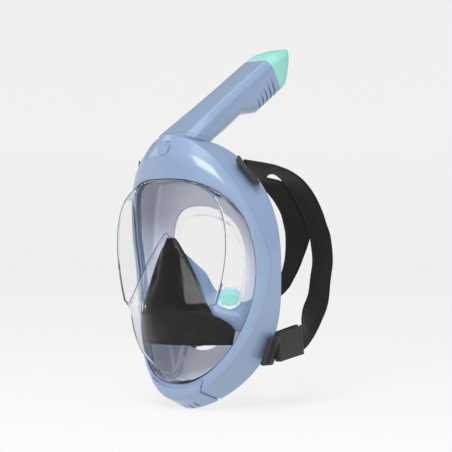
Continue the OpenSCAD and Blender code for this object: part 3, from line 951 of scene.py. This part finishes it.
def make_cap():
    """Rows hold the place, inset, slant, half width, drop and sink of the flat top."""
    wall = TUBE_WALL + 0.4
    keys = [(CAP_FROM + 0.3, 0, 0, MOUTH_W, BULGE_D, 0),
            (CAP_FROM + 13, 0, 0.27, MOUTH_W - 0.5, BULGE_D, 1),
            (CAP_FROM + 23, 0, 0.47, MOUTH_W - 2, BULGE_D, 4),
            (CAP_FROM + 36, 0.3, 0.85, MOUTH_W - 5, BULGE_D, 8),
            (SNORKEL_L, 2, 1.05, MOUTH_W - 7.5, BULGE_D, 11)]
    hollow = [(CAP_FROM - 1, wall, 0, MOUTH_W, BULGE_D, 0),
              (CAP_FROM + 13, wall, 0.27, MOUTH_W - 0.5, BULGE_D, 1),
              (CAP_FROM + 23, wall, 0.47, MOUTH_W - 2, BULGE_D, 4),
              (CAP_FROM + 33, wall + 0.3, 0.8, MOUTH_W - 5, BULGE_D, 7)]
    obj = loft("dry_top_cap_shell", [tube_section(*r) for r in curved_rows(keys, 6)],
               mats["mint_plastic"], ring=False)
    cut(obj, scratch("cutter", [tube_section(*r) for r in smooth_rows(hollow, 3)]))
    placed(obj, "snorkel", "mint_plastic", "dry_top_cap")


make_cap()


# ---------- head strap ----------
# Pairs of points on the two edges of the webbing, from the upper clip over the crown and down
# to the lower clip.
LEFT_ROUTE = [
    [[65, -25, 106], [73, -18, 86]], [[60, 18, 104], [58, 12, 88]], [[52, 44, 102], [43, 34, 94]],
    [[44, 72, 98], [25, 66, 96]], [[40, 95, 90], [5, 104, 90]], [[38, 114, 77], [5, 119, 77]],
    [[36, 130, 60], [5, 134, 59]], [[34, 140, 46], [5, 143, 45]], [[34, 147, 32], [5, 148, 32]],
    [[37, 147, 8], [11, 145, 8]], [[42, 137, -14], [18, 133, -10]], [[50, 123, -37], [28, 117, -27]],
    [[60, 100, -54], [42, 92, -40]], [[68, 76, -70], [59, 69, -50]],
    [[72.4, 55, -80.5], [72.3, 52, -57.5]], [[75.1, 30, -84.5], [75.2, 27, -61]],
    [[76.7, 14, -87], [76.8, 12, -63.5]]]
RIGHT_ROUTE = [
    [[-65, -25, 106], [-73, -18, 86]], [[-60, 18, 104], [-58, 12, 88]], [[-50, 44, 102], [-42, 34, 94]],
    [[-38, 72, 98], [-20, 66, 96]], [[-28, 95, 90], [5, 104, 90]], [[-23, 114, 77], [5, 119, 77]],
    [[-22, 130, 60], [5, 134, 59]], [[-25, 140, 46], [5, 143, 45]], [[-28, 147, 32], [5, 148, 32]],
    [[-31, 149, 8], [-5, 148, 8]], [[-35, 144, -14], [-12, 144, -10]],
    [[-42, 134, -37], [-22, 138, -27]],
    [[-54, 112, -54], [-38, 112, -42]], [[-68, 78, -68], [-62, 74, -50]],
    [[-72.4, 55, -80.5], [-72.3, 52, -57.5]], [[-75.1, 30, -84.5], [-75.2, 27, -61]],
    [[-76.7, 14, -87], [-76.8, 12, -63.5]]]
STRAP_STEPS = 12            # sections between two points of a route
STRAP_COLS = 12             # faces across the webbing
STRAP_W = 25                # width of the webbing


def make_strap_side(name, route, side, replaced):
    """Webbing along a route, with thin raised selvedges and UVs measured in metres."""
    outer = [Vector(pair[0]) for pair in route]
    inner = [Vector(pair[1]) for pair in route]
    last = len(route) - 1
    bm = bmesh.new()
    uv = bm.loops.layers.uv.new("webbing")
    sections, lengths = [], []
    travelled, before = 0.0, None
    for i in range(last * STRAP_STEPS + 1):
        u = i / STRAP_STEPS
        a, b = catmull(outer, u), catmull(inner, u)
        ahead, behind = min(u + 0.1, last), max(u - 0.1, 0)
        run = sum((catmull(edge, ahead) - catmull(edge, behind) for edge in (outer, inner)), Vector())
        normal = side * run.cross(b - a).normalized() * STRAP_T / 2
        row = []
        for sign in (1, -1):
            cols = range(STRAP_COLS + 1) if sign > 0 else range(STRAP_COLS, -1, -1)
            for j in cols:
                f = j / STRAP_COLS
                inwards = min(f, 1 - f) * STRAP_COLS
                swell = 0.35 if inwards < 0.5 else 1.0 if inwards < 2.5 else 0.86
                row.append(a.lerp(b, f) + normal * swell * sign)
        sections.append(row)
        centre = (a + b) / 2
        travelled += (centre - before).length if before else 0
        before = centre
        lengths.append(travelled)
    rows = loft_into(bm, sections, ring=False)
    place = {}
    width = 2 * (STRAP_COLS + 1)
    for row, length in zip(rows, lengths):
        for j, vert in enumerate(row):
            across = j if j <= STRAP_COLS else width - 1 - j
            place[vert] = (length * MM, across / STRAP_COLS * STRAP_W * MM)
    for face in bm.faces:
        for loop in face.loops:
            loop[uv].uv = place[loop.vert]
    obj = add_object(name, bm, mats["strap_webbing"], 50)
    placed(obj, "root", "strap_webbing", *replaced)
    return obj


make_strap_side("strap_left_webbing", LEFT_ROUTE, 1, ["head_strap"])
make_strap_side("strap_right_webbing", RIGHT_ROUTE, -1, [])


# ---------- strap hardware ----------
def prism(name, outline, low, high, place, bevel):
    """Outline of (x, y) corners carried from low to high along z, put in place by a matrix."""
    bm = bmesh.new()
    loft_into(bm, [[place @ Vector((x, y, z)) for x, y in outline] for z in (low, high)], ring=False)
    obj = add_object(name, bm, mats["clip_plastic"])
    mod = obj.modifiers.new("soft_edges", "BEVEL")
    mod.width = bevel * MM
    mod.segments = 3
    mod.limit_method = "ANGLE"
    mod.angle_limit = math.radians(35)
    return obj


def mirror_x(side):
    return Matrix.Diagonal((side, 1, 1, 1))


def join(name, parts):
    """One object from several, with their modifiers applied."""
    depsgraph = bpy.context.evaluated_depsgraph_get()
    bm = bmesh.new()
    for part in parts:
        mesh = bpy.data.meshes.new_from_object(part.evaluated_get(depsgraph))
        bm.from_mesh(mesh)
        bpy.data.meshes.remove(mesh)
    material = parts[0].data.materials[0]
    for part in parts:
        bpy.data.objects.remove(part)
    bmesh.ops.scale(bm, vec=(1 / MM, 1 / MM, 1 / MM), verts=bm.verts)
    return add_object(name, bm, material)


KEEPER_L = 42
KEEPER_D = 10
KEEPER_WALL = 1.8
KEEPER_GAP = 3.6
KEEPER_RISE = 8
KEEPER_TURN = 6
KEEPER_AT = (77, 10, -75.5)


def keeper_half(shrink, gap):
    """Half of a teardrop outline, from its closed front corner to the gap at its round end."""
    radius = KEEPER_D / 2 - shrink
    centre = KEEPER_L - KEEPER_D / 2
    stop = math.degrees(math.asin(min(1, gap / 2 / radius)))
    arc = [(radius * sin(a), centre + radius * cos(a)) for a in
           [mix(92, stop, k / 14) for k in range(15)]]
    return [(3.5 - shrink, shrink), (3.5 - shrink, 12)] + arc


def make_keeper(side):
    outer, inner = keeper_half(0, KEEPER_GAP), keeper_half(KEEPER_WALL, KEEPER_GAP)
    half = outer + inner[::-1]
    outline = half + [(-x, y) for x, y in half[::-1]]
    place = (mirror_x(side) @ Matrix.Translation(KEEPER_AT)
             @ Matrix.Rotation(math.radians(KEEPER_TURN), 4, "Z")
             @ Matrix.Rotation(math.radians(KEEPER_RISE), 4, "X"))
    return prism("keeper", outline, -CLIP_H / 2 - 1, CLIP_H / 2 + 2, place, 0.4)


CLIP_RIBS = 4
CLIP_RIB_PITCH = 2.45


def clip_place(side, at, turn, lean):
    return (mirror_x(side) @ Matrix.Translation(at) @ Matrix.Rotation(math.radians(turn), 4, "Z")
            @ Matrix.Rotation(math.radians(lean), 4, "Y"))


def make_clip(side, at, turn, lean, height):
    """Ribbed block with a toothed upper edge beside a plain bar."""
    place = clip_place(side, at, turn, lean)
    low, high = -height / 2, height / 2
    block = [(-2, -7), (1.6, -7), (1.6, 3.2), (-2, 3.2)]
    bar = [(-2, 3.6), (2.2, 3.6), (2.4, 8), (1.4, 12.4), (-2, 12.4)]
    parts = [prism("block", block, low, high - 1.6, place, 0.5),
             prism("bar", bar, low, high, place, 0.8)]
    for k in range(CLIP_RIBS):
        y = -6.8 + k * CLIP_RIB_PITCH
        rib = [(1, y), (3, y + 0.3), (3, y + 1.1), (1, y + 1.4)]
        parts.append(prism("rib", rib, low + 0.6, high, place, 0.25))
    return parts


def make_strap_hardware():
    keepers = [make_keeper(side) for side in (1, -1)]
    placed(join("strap_keeper_loops", keepers), "root", "clip_plastic", "strap_keepers")
    sets = (("strap_clips_upper", (70, -26, 95), 35, -38, CLIP_H + 6),
            ("strap_clips_lower", (76.5, 0, -78), 8, 20, CLIP_H + 4))
    for node, at, turn, lean, height in sets:
        parts = [part for side in (1, -1) for part in make_clip(side, at, turn, lean, height)]
        placed(join(node + "_ribbed", parts), "root", "clip_plastic", node)


make_strap_hardware()

# ---------- carried-over CAD nodes ----------
for sub in frame["record"]["subparts"]:
    obj = nodes[sub["node"]]
    obj.data.materials.clear()
    obj.data.materials.append(mats[sub["material_slot"]])

# ---------- camera, floor and light ----------
AZIMUTH, ELEVATION, DISTANCE = 43, 1, 1.5
LENS_MM, SENSOR_MM = 119.5, 36
SHIFT_X, SHIFT_Y = 0.031, 0.095
back = Vector((sin(AZIMUTH) * cos(ELEVATION), -cos(AZIMUTH) * cos(ELEVATION), sin(ELEVATION)))
camera = bpy.data.objects.new("camera", bpy.data.cameras.new("camera"))
bpy.context.scene.collection.objects.link(camera)
camera.location = back * DISTANCE
camera.rotation_euler = back.to_track_quat("Z", "Y").to_euler()
camera.data.sensor_width = SENSOR_MM
camera.data.lens = LENS_MM
camera.data.shift_x = SHIFT_X
camera.data.shift_y = SHIFT_Y
bpy.context.scene.camera = camera


FLOOR_R = 3000              # radius of the flat part of the floor
FLOOR_CURVE = 500           # radius of the curve from the floor up into the wall
WALL_H = 1100
FLOOR_STEPS = 96
FLOOR_RINGS = 20


def make_floor():
    """Round floor, with a low wall that rises only on the far side from the camera."""
    floor_z = cad_box[0][2] / MM
    spokes = [Vector((cos(a), sin(a), 0)) for a in ring_angles(FLOOR_STEPS)]
    profile = [(r * FLOOR_R / FLOOR_RINGS, 0) for r in range(1, FLOOR_RINGS + 1)]
    profile += [(FLOOR_R + FLOOR_CURVE * sin(a), FLOOR_CURVE * (1 - cos(a))) for a in range(6, 91, 6)]
    profile.append((FLOOR_R + FLOOR_CURVE, WALL_H))
    bm = bmesh.new()
    hub = bm.verts.new((0, 0, floor_z))
    rows = [[bm.verts.new(spoke * r + Vector((0, 0, floor_z + z * clamp01(0.55 - 1.6 * back.dot(spoke)))))
             for spoke in spokes] for r, z in profile]
    for k in range(FLOOR_STEPS):
        n = (k + 1) % FLOOR_STEPS
        bm.faces.new((hub, rows[0][k], rows[0][n]))
        for a, b in zip(rows, rows[1:]):
            bm.faces.new((a[k], b[k], b[n], a[n]))
    s = Shader("studio_floor", Roughness=0.9, Base_Color=rgb(118, 118, 118), Emission_Strength=0.74)
    s.bsdf.inputs["Emission Color"].default_value = grey(1)
    obj = add_object("studio_floor", bm, s.material, 60)
    obj.data.flip_normals()


make_floor()


def add_softbox(name, place, target, size, power):
    """Rectangular lamp, in metres and watts, aimed at the target."""
    data = bpy.data.lights.new(name, "AREA")
    data.shape = "RECTANGLE"
    data.size, data.size_y = size
    data.energy = power
    lamp = bpy.data.objects.new(name, data)
    lamp.location = place
    lamp.rotation_euler = (Vector(place) - Vector(target)).to_track_quat("Z", "Y").to_euler()
    bpy.context.scene.collection.objects.link(lamp)


add_softbox("key_left", (-1.9, -0.8, 1.4), (0, 0, 0), (1.2, 1.2), 7)
add_softbox("fill_right", (2.0, -0.2, 0.9), (0, 0, 0), (1.0, 1.4), 3)
add_softbox("brow", (0.9, -1.35, 1.35), (0, 0, 0.1), (1.3, 1.0), 34)
add_softbox("top", (0.3, -0.2, 2.2), (0, 0, 0), (1.6, 1.6), 12)
world = bpy.data.worlds.new("studio")
bpy.context.scene.world = world
world.use_nodes = True
background = world.node_tree.nodes["Background"]
background.inputs["Color"].default_value = grey(1)
background.inputs["Strength"].default_value = 0.25
bpy.context.scene.view_settings.view_transform = "Standard"
